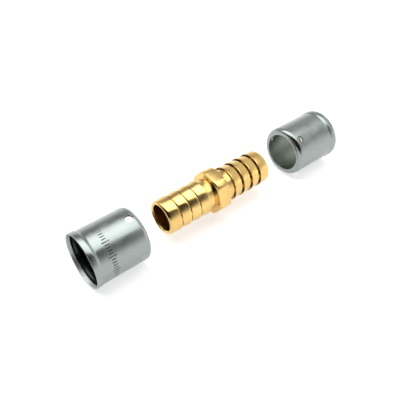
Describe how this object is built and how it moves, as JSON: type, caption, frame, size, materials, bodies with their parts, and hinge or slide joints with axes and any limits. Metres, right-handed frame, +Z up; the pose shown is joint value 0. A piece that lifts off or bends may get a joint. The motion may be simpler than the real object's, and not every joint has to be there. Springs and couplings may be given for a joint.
{
  "type": "press pipe coupling",
  "caption": "Barbed brass pipe coupling with a hexagon at its middle, and a loose stainless press sleeve laid out off each end on the same axis.",
  "frame": {"origin": "middle of the coupling body's through bore, on its axis", "axes": "+X along the bore towards the right-hand sleeve, +Z up, with the sleeves lying on their sides"},
  "size_m": [0.1037, 0.0186, 0.0186],
  "materials": {
    "brass": "fine turned, bright",
    "stainless": "drawn, satin"
  },
  "bodies": {
    "body": {"coupling_body": "brass"},
    "left_sleeve": {"left_press_sleeve": "stainless"},
    "right_sleeve": {"right_press_sleeve": "stainless"}
  },
  "joints": [
    {"name": "left_sleeve_slide", "type": "slide", "parent": "body", "child": "left_sleeve", "axis": [1, 0, 0], "range_m": [0, 0.0283]},
    {"name": "right_sleeve_slide", "type": "slide", "parent": "body", "child": "right_sleeve", "axis": [-1, 0, 0], "range_m": [0, 0.0316]}
  ]
}
